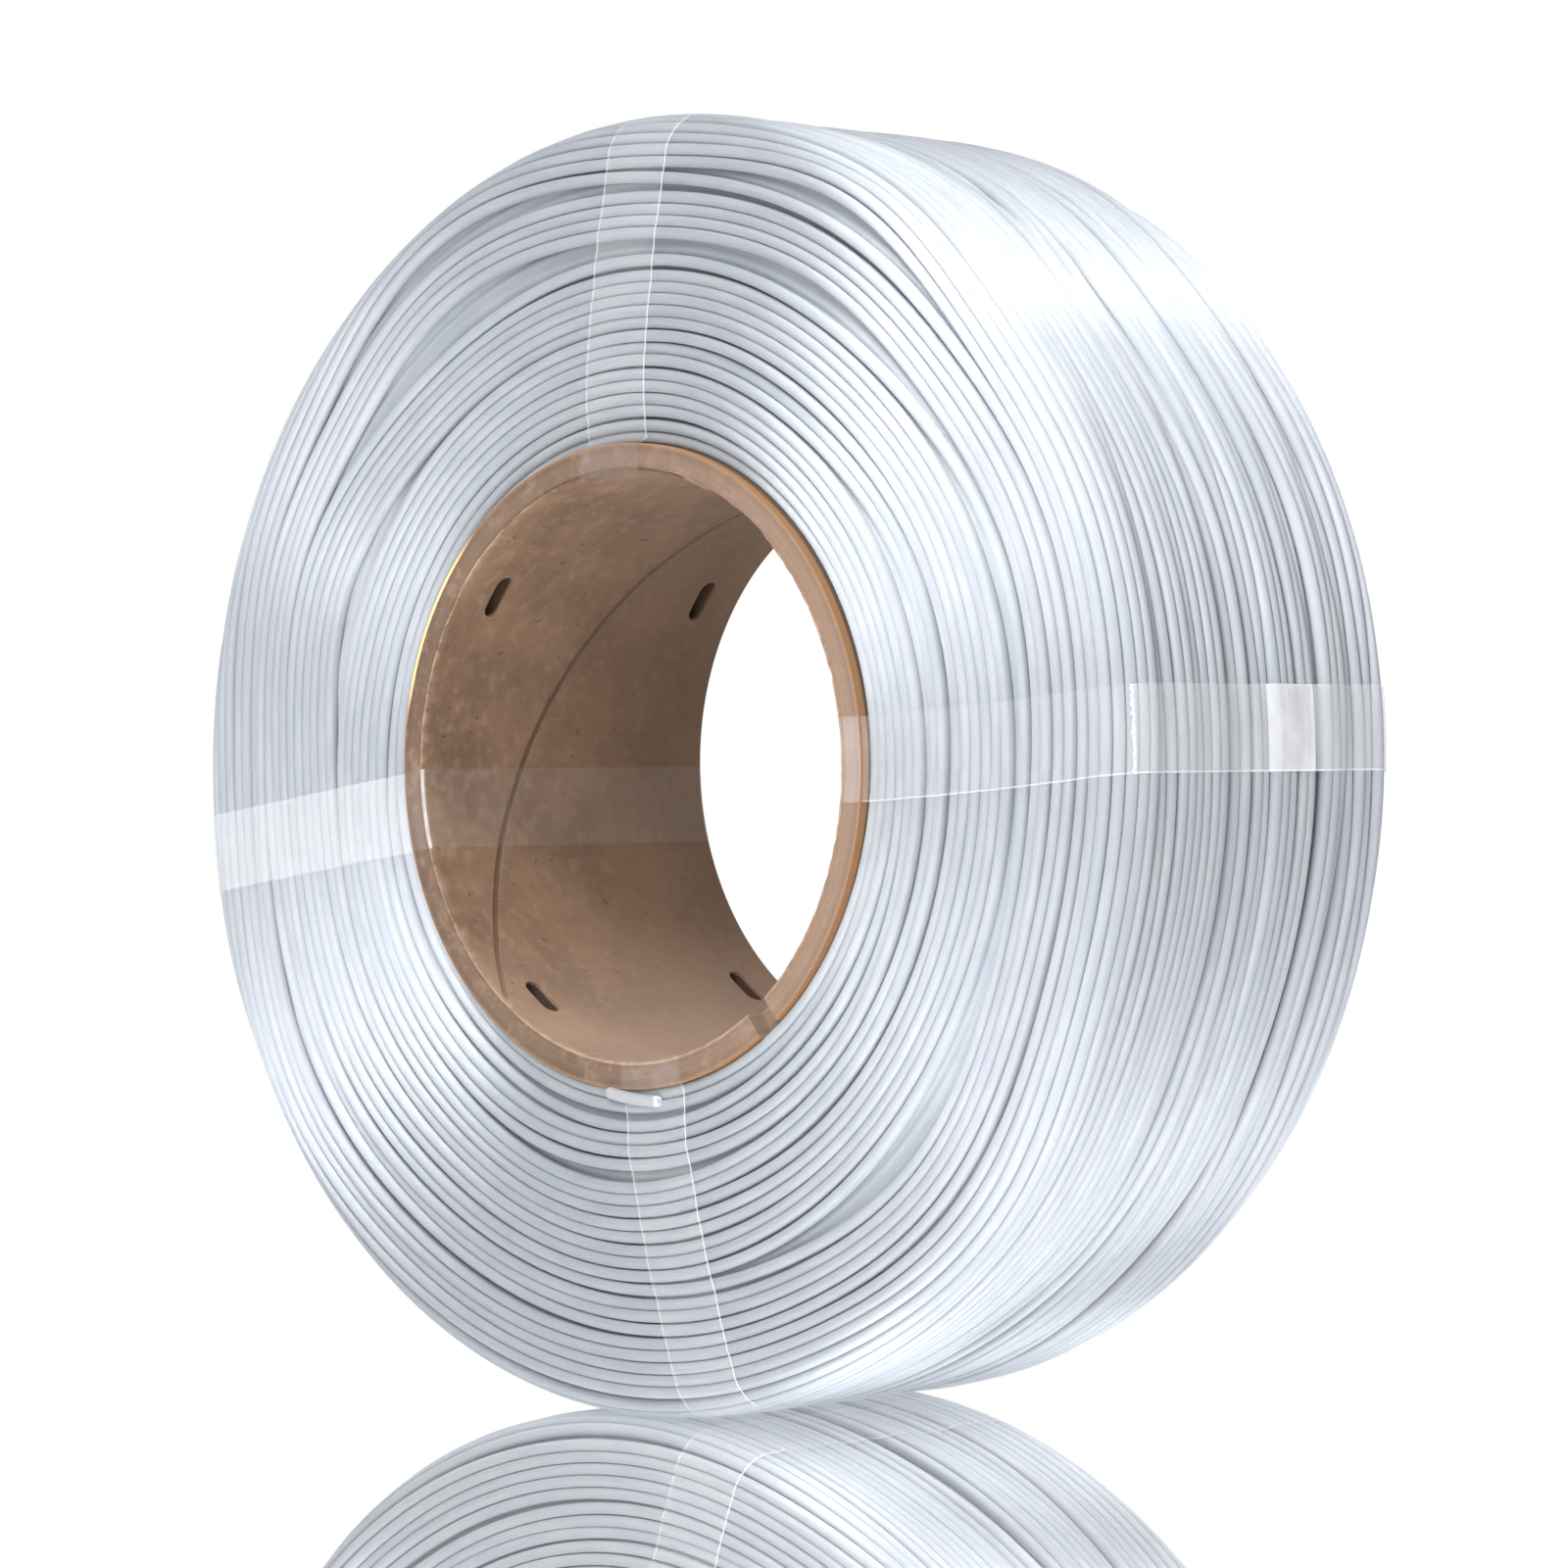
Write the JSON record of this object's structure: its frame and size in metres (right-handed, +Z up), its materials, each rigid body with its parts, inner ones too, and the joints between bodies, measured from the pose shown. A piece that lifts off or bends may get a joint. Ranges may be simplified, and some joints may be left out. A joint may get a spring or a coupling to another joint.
{
  "type": "filament refill coil",
  "caption": "Refill coil of thermoplastic filament wound on a bare paperboard core and bound by tape straps; it slides over a reusable spool's hub to feed a printer.",
  "frame": {"origin": "centre of the core's bore, halfway along its length", "axes": "+Y along the bore's axis from the front face to the back face, +Z up with the coil standing on its rim, +X to the right seen from the front"},
  "size_m": [0.1906, 0.0603, 0.1901],
  "materials": {
    "liner_paper": "matt brown kraft liner with fine fibres",
    "core_board": "cut grey-brown paperboard with fine ply lines",
    "wrap_paper": "matt golden-brown kraft paper",
    "filament": "silky silver-white PLA with a soft sheen",
    "clear_tape": "clear glossy packing tape"
  },
  "bodies": {
    "root": {"core_liner": "liner_paper", "core_ply_2": "core_board", "core_ply_3": "core_board", "core_ply_4": "core_board", "core_ply_5": "core_board", "core_ply_6": "core_board", "core_ply_7": "core_board", "core_wrap": "wrap_paper", "filament_inner_layers": "filament", "filament_outer_layer": "filament", "filament_start_end": "filament", "filament_outer_end": "filament", "strap_top": "clear_tape", "strap_left": "clear_tape", "strap_bottom": "clear_tape", "strap_right": "clear_tape"}
  },
  "joints": []
}
